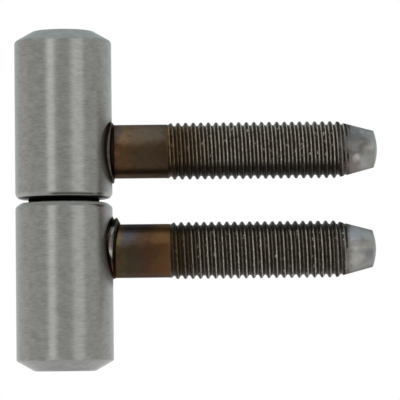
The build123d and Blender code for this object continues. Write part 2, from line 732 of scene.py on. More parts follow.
    def tip(self, graph: Graph, point: Wire, x: Wire) -> Wire:
        """Bare turned metal with soft smudges, darker where the cone cuts the last crests.

        Args:
            graph: The material's nodes.
            point: The point that is shaded.
            x: The distance from the hinge axis.

        Returns:
            The tip's colour.
        """
        thread_end = self.form.thread_end
        turned = graph.noise(point, self.turned_grain, self.seed)
        smear = graph.noise(point, self.smear_grain, self.seed).step(0.4, 0.7)
        tip = graph.blend(smear * 0.45, self.bare, self.smudge)
        tip = graph.blend((turned - 0.4) * 0.3, tip, self.smudge)
        return graph.blend(x.step(thread_end + 1.4, thread_end - 0.6) * 0.8, tip, self.smudge)


@dataclass(frozen=True)
class BurntWeld(Finish):
    """Weld flash: grey at its foot, black in its folds from burnt oxide and painted shade, with a bright
    crescent on its front.

    The ridge fields are shares of the way round the section, from the barrel to the shank. The outline is
    the foot's edge: its distance from the hinge axis, the height where that is least, and its bend. There is
    no bright crescent unless the height of its top is given.
    """

    stud_height: float = 0.0
    foot: Colour = linear(112, 106, 100)
    burnt: Colour = linear(28, 22, 18)
    red_burnt: Colour = linear(44, 24, 22)
    ridge: Colour = linear(98, 88, 76)
    # The paler and the dimmer colour of the bright crescent on the front
    bare: Colour = linear(198, 188, 180)
    worn: Colour = linear(116, 106, 99)
    crumb_grain: Grain = Grain((0.35, 0.5, 0.5), 3)
    blotch_grain: Grain = Grain((1.5, 1.2, 1.2), 2, 3)
    outline: tuple[float, float, float] = (8.48, 0.5, 0.033)
    outline_ragged: float = 0.12
    foot_fade: Rise = (1.4, -0.1)
    foot_start: Rise = (-0.04, 0.08)
    ridge_start: Rise = (0.39, 0.46)
    ridge_end: Rise = (0.68, 0.61)
    ridge_ragged: float = 0.06
    ridge_bottom: Rise = (-12.5, -10.0)
    red_side: Rise = (-12.0, -14.0)
    crescent_bottom: Rise = (0.0, 0.0)
    crescent_top: Rise | None = None
    crescent_ragged: float = 0.15
    crescent_edge: Rise = (-0.04, 0.1)
    crescent_front: Rise = (-2.0, -3.0)
    roughness: float = 0.36
    crumb_rough: float = 0.3
    foot_rough: float = 0.25
    foot_dull: float = 0.8
    edge_tint: tuple[float, float, float, float] = (0.5, 0.48, 0.46, 1.0)
    relief: float = 0.03
    seed: float = 0.0

    def lay(self, graph: Graph) -> None:
        """Adds the weld's nodes.

        Args:
            graph: The material's nodes.
        """
        point, x, y, z = graph.place()
        up = z - self.stud_height
        station = graph.node("ShaderNodeAttribute", {"attribute_name": "station"}, output="Fac")
        crumbs = graph.noise(point, self.crumb_grain, self.seed)
        blotch = graph.noise(point, self.blotch_grain, self.seed)
        shifted = station + (crumbs - 0.5) * self.ridge_ragged
        ridge = shifted.step(*self.ridge_start) * shifted.step(*self.ridge_end) * z.step(*self.ridge_bottom)
        burnt = graph.blend(z.step(*self.red_side), self.burnt, self.red_burnt)
        steel = graph.blend(ridge * (0.25 + blotch * 1.1), burnt, self.ridge)
        edge, middle, bend = self.outline
        from_middle = up - middle
        inside = edge + from_middle * from_middle * bend - x + (crumbs - 0.5) * self.outline_ragged
        # Painted shade: the foot darkens towards its outline, into the crease under the flash
        foot = graph.blend(inside.step(*self.foot_fade), self.foot, burnt)
        on_foot = inside.step(*self.foot_start)
        steel = graph.blend(on_foot, steel, foot)
        if self.crescent_top:
            # The crescent is paler towards its top and round its middle
            bright = up.step(2.8, 3.9) * 0.7 + up.near(-0.6, 1.3)
            bare = graph.blend(bright - (crumbs - 0.5) * 0.6, self.worn, self.bare)
            steel = graph.blend(self.bright_crescent(x, y, up, crumbs), steel, bare)
        gloss = self.roughness + (crumbs - 0.5) * self.crumb_rough + on_foot * self.foot_rough
        settings = {"Metallic": 1 - on_foot * self.foot_dull, "Specular Tint": self.edge_tint}
        self.metal(graph, steel, gloss, crumbs, self.relief, settings)

    def bright_crescent(self, x: Wire, y: Wire, up: Wire, crumbs: Wire) -> Wire:
        """The bright crescent on the front of the flash, which ends in a thin line below.

        Args:
            x: The distance from the hinge axis.
            y: The depth, negative towards the front.
            up: The height above the stud's axis.
            crumbs: A noise that makes its outline uneven.

        Returns:
            1 on the crescent and its line.
        """
        uneven = (crumbs - 0.5) * self.crescent_ragged
        from_widest = up - 1.85
        left = 9.06 + from_widest * from_widest * 0.062 + up.step(2.8, 4.2) * 0.12
        right = 9.98 + up.step(2.8, 5.0) * 0.5
        crescent = (x - left + uneven).step(*self.crescent_edge) * (right - x + uneven).step(*self.crescent_edge)
        crescent = crescent * up.step(*self.crescent_top) * up.step(*self.crescent_bottom)
        line = x.near(9.85 - (up + 2.0) * 0.06, 0.14) * up.step(-4.6, -3.8) * up.step(-1.4, -2.0) * 0.4
        return (crescent + line) * y.step(*self.crescent_front)


@dataclass(frozen=True)
class PlainSteel(Finish):
    """Steel with one tone and fine turned lines, such as a ground pin or a blackened washer."""

    light: Colour = linear(180, 180, 178)
    dark: Colour = linear(150, 149, 146)
    roughness: float = 0.34
    film_rough: float = 0.2
    edge: float = 1.0
    line_grain: Grain = Grain((1.2, 1.2, 0.15), 3)
    film_grain: Grain = Grain((2.5, 2.5, 3.5), 2, 4)
    relief: float = 0.006

    def lay(self, graph: Graph) -> None:
        """Adds the steel's nodes.

        Args:
            graph: The material's nodes.
        """
        point, *_ = graph.place()
        lines = graph.noise(point, self.line_grain)
        film = graph.noise(point, self.film_grain)
        steel = graph.blend(lines * 0.5 + film * 0.5, self.dark, self.light)
        gloss = self.roughness + (film - 0.5) * self.film_rough
        settings = {"Specular Tint": (self.edge, self.edge, self.edge, 1.0)}
        self.metal(graph, steel, gloss, lines, self.relief, settings)


class Workpiece:
    """A mesh on the bench, in millimetres and in edit mode. Each method is one modelling step."""

    def __init__(self, name: str) -> None:
        """Takes the primitive that was just added, with its place in its mesh.

        Args:
            name: The piece's name.
        """
        self.item = bpy.context.active_object
        self.item.name = name
        self.item.data.name = name
        bpy.ops.object.transform_apply(location=True, rotation=True, scale=True)
        bpy.ops.object.mode_set(mode="EDIT")

    @classmethod
    def cylinder(cls, name: str, radius: float, low: float, high: float, corners: int) -> "Workpiece":
        """Starts from a cylinder about Z.

        Args:
            name: The piece's name.
            radius: Its radius.
            low: The height of its lower face.
            high: The height of its upper face.
            corners: How many sides it has.

        Returns:
            The new workpiece.
        """
        bpy.ops.object.select_all(action="DESELECT")
        middle = (0, 0, (low + high) / 2)
        depth = high - low
        bpy.ops.mesh.primitive_cylinder_add(vertices=corners, radius=radius, depth=depth, location=middle)
        return cls(name)

    @classmethod
    def line(cls, name: str, points: Sequence[Vector]) -> "Workpiece":
        """Starts from a small plane, merged to one point that is then extruded from point to point.

        Args:
            name: The piece's name.
            points: Where the line goes. A last point on the first one closes it.

        Returns:
            The new workpiece. The attribute station is each point's share of the way along the line.
        """
        bpy.ops.object.select_all(action="DESELECT")
        bpy.ops.mesh.primitive_plane_add(size=1, location=points[0])
        piece = cls(name)
        bpy.ops.mesh.select_mode(type="VERT")
        bpy.ops.mesh.select_all(action="SELECT")
        bpy.ops.mesh.merge(type="CENTER")
        for start, end in pairwise(points):
            bpy.ops.mesh.extrude_region_move(TRANSFORM_OT_translate={"value": end - start})
        piece.leave_edit()
        count = len(piece.item.data.vertices)
        station = piece.item.data.attributes.new("station", "FLOAT", "POINT")
        station.data.foreach_set("value", [number / (count - 1) for number in range(count)])
        piece.enter_edit()
        return piece

    def enter_edit(self) -> None:
        """Goes to edit mode."""
        bpy.ops.object.mode_set(mode="EDIT")

    def leave_edit(self) -> None:
        """Goes to object mode, with the piece as the only one selected."""
        bpy.ops.object.mode_set(mode="OBJECT")
        bpy.ops.object.select_all(action="DESELECT")
        self.item.select_set(True)
        bpy.context.view_layer.objects.active = self.item

    def pick_faces(self, test: Callable[[Vector, Vector], bool]) -> None:
        """Selects some of the faces.

        Args:
            test: Says from a face's middle and normal whether it is selected.
        """
        bpy.ops.mesh.select_mode(type="FACE")
        bpy.ops.mesh.select_all(action="DESELECT")
        mesh = bmesh.from_edit_mesh(self.item.data)
        for face in mesh.faces:
            if test(face.calc_center_median(), face.normal):
                face.select_set(True)
        bmesh.update_edit_mesh(self.item.data)

    def pick_end(self, direction: Vector, squareness: float = 0.99) -> None:
        """Selects the flat face that lies furthest in a direction.

        Args:
            direction: The direction, of length 1.
            squareness: How squarely the face looks that way, where 1 is exactly.
        """
        mesh = bmesh.from_edit_mesh(self.item.data)
        facing = [f for f in mesh.faces if f.normal.dot(direction) > squareness]
        end = max(f.calc_center_median().dot(direction) for f in facing) - TOLERANCE
        self.pick_faces(lambda c, n: n.dot(direction) > squareness and c.dot(direction) > end)

    def pick_edges(self, test: Callable[[Vector], bool]) -> None:
        """Selects some of the edges.

        Args:
            test: Says of a point whether an edge may end there.
        """
        bpy.ops.mesh.select_mode(type="EDGE")
        bpy.ops.mesh.select_all(action="DESELECT")
        mesh = bmesh.from_edit_mesh(self.item.data)
        for edge in mesh.edges:
            if all(test(end.co) for end in edge.verts):
                edge.select_set(True)
        bmesh.update_edit_mesh(self.item.data)

    def extrude(self, offset: Vector, scale: float = 1.0) -> None:
        """Extrudes what is selected.

        Args:
            offset: How far, along X or Z.
            scale: How much the new end is scaled about the axis that the offset runs along.
        """
        bpy.ops.mesh.extrude_region_move(TRANSFORM_OT_translate={"value": offset})
        if scale == 1.0:
            return
        mesh = bmesh.from_edit_mesh(self.item.data)
        axis = offset.normalized()
        middle = axis * next(v for v in mesh.verts if v.select).co.dot(axis)
        bpy.ops.transform.resize(value=(scale, scale, scale), center_override=middle)

    def close_point(self) -> None:
        """Merges what is selected at its middle."""
        bpy.ops.mesh.merge(type="CENTER")

    def inset(self, width: float) -> None:
        """Insets the selected faces by a width."""
        bpy.ops.mesh.inset(thickness=width, use_even_offset=True)

    def round_edges(self, width: float, segments: int) -> None:
        """Rounds the selected edges.

        Args:
            width: How far from the edge the round begins on either side.
            segments: How many faces the round has.
        """
        bpy.ops.mesh.bevel(
            offset=width,
            offset_type="OFFSET",
            segments=segments,
            profile=0.5,
            affect="EDGES",
            clamp_overlap=False,
        )

    def spin(self, axis: Vector, steps: int) -> None:
        """Spins everything a full turn, and merges the two ends.

        Args:
            axis: The axis, which goes through the origin.
            steps: How many copies the turn has.
        """
        bpy.ops.mesh.select_all(action="SELECT")
        bpy.ops.mesh.spin(steps=steps, angle=FULL_TURN, center=(0, 0, 0), axis=axis, dupli=False)
        self.merge_doubles()

    def merge_doubles(self) -> None:
        """Merges points that lie on each other."""
        bpy.ops.mesh.select_all(action="SELECT")
        bpy.ops.mesh.remove_doubles(threshold=MERGE_DISTANCE)

    def face_outward(self) -> None:
        """Turns all faces outward."""
        bpy.ops.mesh.select_all(action="SELECT")
        bpy.ops.mesh.normals_make_consistent(inside=False)

    def cut(self, point: Vector, direction: Vector) -> None:
        """Cuts off what lies past a plane, and closes the cut with a flat face.

        Args:
            point: A point on the plane.
            direction: The direction in which the rest is cut off, square to the plane.
        """
        bpy.ops.mesh.select_all(action="SELECT")
        bpy.ops.mesh.bisect(
            plane_co=point,
            plane_no=direction,
            use_fill=True,
            clear_outer=True,
            threshold=CUT_DISTANCE,
        )

    def modify(self, kind: str, **settings: object) -> None:
        """Adds a modifier and applies it. The piece stays in edit mode.

        Args:
            kind: The modifier's type.
            **settings: Its settings, by name.
        """
        self.leave_edit()
        made = self.item.modifiers.new(kind.title(), kind)
        for key, value in settings.items():
            setattr(made, key, value)
        bpy.ops.object.modifier_apply(modifier=made.name)
        self.enter_edit()

    def shape(self, move: Callable[[Vector, float], Vector]) -> None:
        """Moves every point.

        Args:
            move: Gives a point's new place from its place and its station.
        """
        self.leave_edit()
        mesh = self.item.data
        stations = mesh.attributes["station"].data
        for vertex, station in zip(mesh.vertices, stations):
            vertex.co = move(vertex.co.copy(), station.value)
        self.enter_edit()

    def finish(
        self,
        node: str,
        slot: Slot,
        body: Body,
        dress: Finish,
        place: Matrix,
        smooth: float = 40.0,
    ) -> None:
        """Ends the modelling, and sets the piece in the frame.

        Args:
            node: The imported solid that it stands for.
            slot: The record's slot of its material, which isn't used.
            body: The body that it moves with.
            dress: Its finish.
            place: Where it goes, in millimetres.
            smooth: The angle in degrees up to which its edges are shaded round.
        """
        self.merge_doubles()
        self.face_outward()
        self.leave_edit()
        mesh = self.item.data
        mesh.transform(Matrix.Scale(MM, 4) @ place)
        bpy.ops.object.shade_smooth_by_angle(angle=math.radians(smooth))
        weighted = self.item.modifiers.new("Flat faces first", "WEIGHTED_NORMAL")
        weighted.keep_sharp = True
        bpy.ops.object.modifier_apply(modifier=weighted.name)
        mesh.materials.clear()
        mesh.materials.append(dress.material())
        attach(self.item, body.value)
        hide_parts(node)
        log.info("%s: %d faces, moves with %s", self.item.name, len(mesh.polygons), body.value)


@dataclass
class Barrel:
    """A turned barrel that stands on its inner face at z = 0, with a blind bore in that face."""

    node: str
    body: Body
    dress: Finish
    bore_radius: float
    bore_depth: float
    inner_edge_width: float
    inner_edge_height: float
    upright: bool = True
    chamfer_width: float = 3.75
    chamfer_height: float = 2.15
    shoulder_round: float = 0.2
    shoulder_steps: int = 8
    end_round: float = 0.3
    inner_round: float = 0.4
    round_steps: int = 5
    mouth_chamfer: float = 0.5
    drill_point: float = 3.0
    corners: int = 192

    def build(self) -> None:
        """Models the barrel and sets it in the frame."""
        low, high = node_box(self.node)
        radius = (high.x - low.x) / 2
        length = high.z - low.z
        shoulder = length - self.chamfer_height
        name = f"{self.node}_turned"
        piece = Workpiece.cylinder(name, radius, self.inner_edge_height, shoulder, self.corners)
        piece.pick_end(Z_AXIS)
        piece.extrude(Z_AXIS * self.chamfer_height, (radius - self.chamfer_width) / radius)
        piece.pick_end(-Z_AXIS)
        face_radius = radius - self.inner_edge_width
        piece.extrude(Z_AXIS * -self.inner_edge_height, face_radius / radius)
        self.bore(piece, face_radius)
        self.round_off(piece, radius, length, face_radius)
        turn = Matrix.Identity(4) if self.upright else Matrix.Rotation(math.pi, 4, "X")
        inner_face = low.z if self.upright else high.z
        place = Matrix.Translation((0, 0, inner_face)) @ turn
        piece.finish(self.node, Slot.BARREL, self.body, self.dress, place)

    def bore(self, piece: Workpiece, face_radius: float) -> None:
        """Sinks the bore into the inner face, with its mouth's chamfer and the drill's point.

        Args:
            piece: The barrel, with its inner face selected.
            face_radius: The radius of that face.
        """
        mouth_radius = self.bore_radius + self.mouth_chamfer
        piece.inset(face_radius - mouth_radius)
        piece.extrude(Z_AXIS * self.mouth_chamfer, self.bore_radius / mouth_radius)
        piece.extrude(Z_AXIS * (self.bore_depth - self.mouth_chamfer))
        piece.extrude(Z_AXIS * self.drill_point, POINT_SCALE)
        piece.close_point()

    def round_off(self, piece: Workpiece, radius: float, length: float, face_radius: float) -> None:
        """Rounds the shoulder, the end's edge and the two edges round the inner face.

        Args:
            piece: The barrel.
            radius: Its radius.
            length: Its length.
            face_radius: The radius of its inner face.
        """
        rings = (
            (radius, length - self.chamfer_height, self.shoulder_round, self.shoulder_steps),
            (radius - self.chamfer_width, length, self.end_round, self.round_steps),
            (radius, self.inner_edge_height, self.inner_round, self.round_steps),
            (face_radius, 0.0, self.inner_round, self.round_steps),
        )
        for ring_radius, height, width, steps in rings:
            piece.pick_edges(
                lambda p: abs(p.z - height) < TOLERANCE and abs(p.xy.length - ring_radius) < TOLERANCE
            )
            piece.round_edges(width, steps)


@dataclass
class ThreadedStud:
    """A stud along +X: a plain shank, a rolled thread, and a tapered tip with a domed end."""

    form: StudForm
    barrel_node: str
    body: Body
    dress: Finish
    steps: int = 72
    nick_grain: float = 0.9
    nick_depth: float = 0.03
    nick_from: Rise = (5.7, 5.95)
    rim_angles: tuple[float, ...] = (18.0, 36.0, 54.0, 72.0)
    rim_share: float = 0.6
    dome_shares: tuple[float, ...] = (0.8, 0.6, 0.4, 0.2)
    seat_depth: float = 0.02
    seat_corners: int = 192

    def build(self) -> None:
        """Models the stud and sets it in the frame."""
        piece = self.thread()
        self.shank(piece)
        self.tip(piece)
        self.seat(piece)
        place = Matrix.Translation((0, 0, self.form.height))
        piece.finish(self.form.node, Slot.STUD, self.body, self.dress, place)

    def limit(self, place: Vector, station: float) -> Vector:
        """Fades the thread out of the shank at its start, nicks it, and cuts it off at the cone of the tip.

        Args:
            place: A point of the thread.
            station: Its share of the way along the thread's outline, which isn't needed.

        Returns:
            The point's new place.
        """
        form = self.form
        radius = math.hypot(place.y, place.z)
        grown = smooth_step(form.thread_start, form.thread_start + form.run_out, place.x)
        nick = noise.noise(place * self.nick_grain) * self.nick_depth * smooth_step(*self.nick_from, radius)
        wanted = min(mix(form.shank_radius, radius + min(nick, 0.0), grown), form.cone(place.x))
        return Vector((place.x, place.y * wanted / radius, place.z * wanted / radius))

    def thread(self) -> Workpiece:
        """Winds the thread, and cuts it square where it ends on the shank and on the tip's cone.

        Returns:
            The threaded length, with a flat face at either end.
        """
        form = self.form
        turns = math.ceil((form.reach - form.thread_start) / form.pitch) + 1
        first = math.floor(form.thread_start / form.pitch) - 2
        start = (first + form.crest_phase - 0.5) * form.pitch
        piece = Workpiece.line(f"{form.node}_threaded", [p + X_AXIS * start for p in form.profile()])
        piece.modify(
            "SCREW",
            axis="X",
            angle=FULL_TURN,
            screw_offset=form.pitch,
            iterations=turns,
            steps=self.steps,
            render_steps=self.steps,
        )
        piece.merge_doubles()
        piece.shape(self.limit)
        piece.cut(X_AXIS * form.thread_start, -X_AXIS)
        piece.cut(X_AXIS * form.thread_end, X_AXIS)
        piece.face_outward()
        return piece

    def shank(self, piece: Workpiece) -> None:
        """Draws the shank out of the thread's inner end, to well inside the barrel."""
        piece.pick_end(-X_AXIS)
        piece.extrude(X_AXIS * (self.barrel_radius() / 2 - self.form.thread_start))

    def barrel_radius(self) -> float:
        """The radius of the barrel that the stud sits on."""
        _, high = node_box(self.barrel_node)
        return high.x

    def tip(self, piece: Workpiece) -> None:
        """Draws the cone, its rounded rim and the domed end out of the thread's outer end.

        Args:
            piece: The threaded length.
        """
        form = self.form
        round_length = form.tip_round * self.rim_share
        rim = form.rim - round_length
        rings = [(rim, form.cone(rim))]
        for angle in map(math.radians, self.rim_angles):
            shrunk = form.cone(rim) - form.tip_round * (1 - math.cos(angle))
            rings.append((rim + round_length * math.sin(angle), shrunk))
        rim_x, rim_radius = rings[-1]
        for share in self.dome_shares:
            rings.append((mix(form.reach, rim_x, share * share), rim_radius * share))
        rings.append((form.reach, rim_radius * POINT_SCALE))
        piece.pick_end(X_AXIS)
        x, radius = form.thread_end, form.cone(form.thread_end)
        for next_x, next_radius in rings:
            piece.extrude(X_AXIS * (next_x - x), next_radius / radius)
            x, radius = next_x, next_radius
        piece.close_point()

    def seat(self, piece: Workpiece) -> None:
        """Hollows the shank's inner end to the round of the barrel.

        Args:
            piece: The stud.
        """
        piece.leave_edit()
        half = 2 * self.form.crest_radius
        radius = self.barrel_radius() - self.seat_depth
        cutter = Workpiece.cylinder("seat_cutter", radius, -half, half, self.seat_corners)
        piece.modify("BOOLEAN", operation="DIFFERENCE", solver="EXACT", object=cutter.item)
        bpy.data.objects.remove(cutter.item)


@dataclass(frozen=True)
class FlashSection:
    """A weld flash cut through at one side, by the distances of its points from the hinge and stud axes.

    A distance of 0 from the hinge axis stands for the barrel's own surface.
    """

    points: tuple[tuple[float, float], ...]

    def point(self, number: int, core_radius: float) -> tuple[float, float]:
        """A point by its number, where -1 and one past the last are the corners inside the shank.

        Args:
            number: The point's number.
            core_radius: The distance of the two corners from the stud's axis.

        Returns:
            Its distances from the hinge axis and from the stud's axis.
        """
        if 0 <= number < len(self.points):
            return self.points[number]
        end = self.points[0] if number < 0 else self.points[-1]
        return end[0], core_radius


@dataclass
class WeldFlash:
    """The ring of weld metal between a barrel and its stud, lofted through a top, side and bottom section."""

    node: str
    barrel_node: str
    body: Body
    dress: Finish
    stud_height: float
    top: FlashSection
    side: FlashSection
    bottom: FlashSection
    corner: float = 0.0
    core_radius: float = 5.45
    sink: float = 0.03
    wave: float = 0.05
    wave_grain: tuple[float, float] = (9.0, 6.0)
    wave_from: Rise = (5.6, 6.0)
    steps: int = 64
    smoothing: int = 2
    smooth_angle: float = 80.0

    def build(self) -> None:
        """Models the flash and sets it in the frame."""
        # The loft places each point by its angle and its station, so a straight line will do
        numbers = range(len(self.side.points) + 2)
        piece = Workpiece.line(f"{self.node}_flash", [Vector((n, 0, self.core_radius)) for n in numbers])
        self.close_ring(piece)
        piece.spin(X_AXIS, self.steps)
        piece.shape(self.loft)
        piece.modify("SUBSURF", levels=self.smoothing, render_levels=self.smoothing)
        place = Matrix.Translation((0, 0, self.stud_height))
        piece.finish(self.node, Slot.WELD, self.body, self.dress, place, self.smooth_angle)

    @staticmethod
    def close_ring(piece: Workpiece) -> None:
        """Joins the line's two ends.

        Args:
            piece: The line.
        """
        mesh = bmesh.from_edit_mesh(piece.item.data)
        mesh.verts.ensure_lookup_table()
        mesh.edges.new((mesh.verts[0], mesh.verts[-1]))
        bmesh.update_edit_mesh(piece.item.data)

    def loft(self, place: Vector, station: float) -> Vector:
        """Where a point of the spun ring goes.

        Args:
            place: Its place on the ring, which gives its angle about the stud.
            station: Its share of the way round the section, from 0 at the barrel to 1 on the shank.

        Returns:
            Its new place.
        """
        angle = math.atan2(-place.y, place.z)
        sideways = math.sin(angle) ** 2
        end = self.top if math.cos(angle) > 0 else self.bottom
        number = round(station * (len(self.side.points) + 1)) - 1
        end_x, end_radius = end.point(number, self.core_radius)
        side_x, side_radius = self.side.point(number, self.core_radius)
        radius = mix(end_radius, side_radius, sideways)
        if radius > self.core_radius:
            flank = smooth_step(*self.wave_from, radius)
            radius += flank * self.corner * math.sin(2 * angle) ** 2
            along, round_about = self.wave_grain
            ripple = Vector((station * along, math.sin(angle) * round_about, math.cos(angle) * round_about))
            radius += flank * self.wave * noise.noise(ripple)
        y, z = -radius * math.sin(angle), radius * math.cos(angle)
        _, high = node_box(self.barrel_node)
        on_barrel = math.sqrt(high.x**2 - y * y) - self.sink
        x = math.sqrt(mix(end_x**2, side_x**2, sideways))
        return Vector((max(x, on_barrel), y, z))


@dataclass
class HingePin:
    """The pin, pressed into the frame barrel, with a long lead-in at its top."""

    dress: Finish
    node: str = "hinge_pin"
    foot_chamfer: float = 0.5
    lead_width: float = 0.9
    lead_height: float = 1.5
    edge_round: float = 0.2
    round_steps: int = 4
    corners: int = 128

    def build(self) -> None:
        """Models the pin and sets it in the frame."""
        low, high = node_box(self.node)
        radius = (high.x - low.x) / 2
        foot = low.z + self.foot_chamfer
        shoulder = high.z - self.lead_height
        piece = Workpiece.cylinder("hinge_pin_ground", radius, foot, shoulder, self.corners)
        piece.pick_end(Z_AXIS)
        piece.extrude(Z_AXIS * self.lead_height, (radius - self.lead_width) / radius)
        piece.pick_end(-Z_AXIS)
        piece.extrude(Z_AXIS * -self.foot_chamfer, (radius - self.foot_chamfer) / radius)
        for height in (shoulder, high.z):
            piece.pick_edges(lambda p: abs(p.z - height) < TOLERANCE)
            piece.round_edges(self.edge_round, self.round_steps)
        piece.finish(self.node, Slot.PIN, Body.FRAME_HALF, self.dress, Matrix.Identity(4))


@dataclass
class ThrustWasher:
    """The washer in the gap, loose round the pin."""

    dress: Finish
    node: str = "thrust_washer"
    hole_radius: float = 5.15
    corners: int = 128
    smooth_angle: float = 30.0

    def build(self) -> None:
        """Models the washer and sets it in the frame."""
        low, high = node_box(self.node)
        section = ((self.hole_radius, low.z), (high.x, low.z), (high.x, high.z), (self.hole_radius, high.z))
        points = [Vector((radius, 0, z)) for radius, z in (*section, section[0])]
        piece = Workpiece.line("thrust_washer_black", points)
        piece.spin(Z_AXIS, self.corners)
        place = Matrix.Identity(4)
        piece.finish(self.node, Slot.WASHER, Body.WASHER, self.dress, place, self.smooth_angle)


@dataclass
class PhotoCamera:
    """The camera that saw the hinge: far off, with a long lens, and tipped a little."""

    distance: float = 661.6
    azimuth: float = -0.34
    elevation: float = -3.2
    roll: float = -0.617
    target: tuple[float, float, float] = (28.022, 0.0, -0.069)
    focal_pixels: float = 3211.3
    frame_pixels: int = 400
    sensor: float = 36.0
    clip_start: float = 10.0
    clip_end: float = 50000.0

    def place(self) -> None:
        """Adds the camera to the scene."""
        a, r = math.radians(self.azimuth), math.radians(self.roll)
        back = towards(self.azimuth, self.elevation)
        level = Vector((math.cos(a), math.sin(a), 0))
        right = level * math.cos(r) + back.cross(level) * math.sin(r)
        data = bpy.data.cameras.new("photo_camera")
        data.sensor_width = self.sensor
        data.lens = self.focal_pixels * self.sensor / self.frame_pixels
        data.clip_start = self.clip_start * MM
        data.clip_end = self.clip_end * MM
        camera = bpy.data.objects.new("photo_camera", data)
        bpy.context.scene.collection.objects.link(camera)
        turn = Matrix((right, back.cross(right), back)).transposed().to_4x4()
        camera.matrix_world = Matrix.Translation((Vector(self.target) + back * self.distance) * MM) @ turn
        bpy.context.scene.camera = camera


@dataclass(frozen=True)
class SoftBox:
    """A rectangular lamp that faces the hinge.

    Its brightness is what a mirror would show of it, where 1 is white.
    """

    name: str
    azimuth: float
    elevation: float
    width: float
    height: float
    brightness: float
    distance: float = 1500.0

    def place(self) -> None:
        """Adds the lamp."""
        away = towards(self.azimuth, self.elevation)
        data = bpy.data.lights.new(self.name, "AREA")
        data.shape = "RECTANGLE"
        data.size = self.width * MM
        data.size_y = self.height * MM
        data.energy = self.brightness * math.pi * data.size * data.size_y
        lamp = bpy.data.objects.new(self.name, data)
        bpy.context.scene.collection.objects.link(lamp)
        turn = away.to_track_quat("Z", "Y").to_matrix().to_4x4()
        lamp.matrix_world = Matrix.Translation(away * self.distance * MM) @ turn
        lamp.visible_camera = False


@dataclass
class Studio:
    """A white floor and backdrop, a grey room in front of them, and soft boxes."""

    floor_height: float = -60.0
    floor_size: float = 40000.0
    floor_colour: float = 0.8
    floor_glow: float = 0.3
    floor_far: Rise = (200.0, 600.0)
    floor_mirrored: Rise = (-160.0, 60.0)
    mirrored_glow: float = 0.85
    room: float = 0.5
    sides: float = 0.62
    side_fade: Rise = (0.3, 0.8)
    ceiling: float = 0.85
    ceiling_fade: Rise = (0.3, 0.9)
    backdrop: float = 0.8
    backdrop_fade: Rise = (0.2, 0.9)
    warm: Colour = (1.03, 0.985, 0.9)
    cool: Colour = (0.86, 0.985, 1.0)
    lamps: tuple[SoftBox, ...] = (
        SoftBox("left_box", -28.0, 8.0, 470.0, 1500.0, 1.35),
        SoftBox("right_box", 36.0, 8.0, 760.0, 1500.0, 0.88),
    )

    def build(self) -> None:
        """Adds the floor, the world and the lamps."""
        self.add_floor()
        self.add_world()
        for lamp in self.lamps:
            lamp.place()

    def add_floor(self) -> None:
        """Adds the floor, which only shows from above."""
        bpy.ops.object.select_all(action="DESELECT")
        bpy.ops.mesh.primitive_plane_add(size=self.floor_size * MM, location=(0, 0, self.floor_height * MM))
        floor = bpy.context.active_object
        floor.name = "studio_floor"
        made = bpy.data.materials.new("studio_white")
        made.use_nodes = True
        graph = Graph(made.node_tree)
        _, x, y, _ = graph.place()
        seen = graph.node("ShaderNodeLightPath", output="Is Camera Ray")
        mirrored = graph.node("ShaderNodeLightPath", output="Is Glossy Ray")
        backing = graph.node("ShaderNodeNewGeometry", output="Backfacing")
        far = ((x * x + y * y) ** 0.5).step(*self.floor_far)
        grey = (self.floor_colour, self.floor_colour, self.floor_colour, 1)
        paper = graph.node("ShaderNodeBsdfDiffuse", values={"Color": grey})
        glow = graph.node("ShaderNodeEmission", values={"Color": (1, 1, 1, 1)})
        shown = seen * (self.floor_glow + far * (1 - self.floor_glow))
        shown = shown + mirrored * y.step(*self.floor_mirrored) * self.mirrored_glow
        lit = graph.node("ShaderNodeMixShader", values={0: shown, 1: paper, 2: glow})
        clear = graph.node("ShaderNodeBsdfTransparent")
        sheet = graph.node("ShaderNodeMixShader", values={0: backing, 1: lit, 2: clear})
        graph.node("ShaderNodeOutputMaterial", values={"Surface": sheet})
        floor.data.materials.append(made)

    def add_world(self) -> None:
        """Lights the hinge from a white backdrop behind, a pale ceiling and a grey room in front."""
        world = bpy.data.worlds.new("studio_room")
        bpy.context.scene.world = world
        world.use_nodes = True
        graph = Graph(world.node_tree)
        x, y, z = graph.parts(graph.node("ShaderNodeTexCoord", output="Generated"))
        above = z.step(*self.ceiling_fade)
        behind = y.step(*self.backdrop_fade)
        level = self.room + (self.sides - self.room) * (x * x).step(*self.side_fade)
        level = level + (self.ceiling - level) * above
        level = level + (self.backdrop - level) * behind
        hue = graph.blend(1 - (1 - behind) * (1 - above), self.warm, self.cool)
        seen = graph.node("ShaderNodeLightPath", output="Is Camera Ray")
        around = graph.node("ShaderNodeBackground", values={"Color": hue, "Strength": level})
        white = graph.node("ShaderNodeBackground", values={"Color": (1, 1, 1, 1), "Strength": 1.0})
        both = graph.node("ShaderNodeMixShader", values={0: seen, 1: around, 2: white})
        graph.node("ShaderNodeOutputWorld", values={"Surface": both})


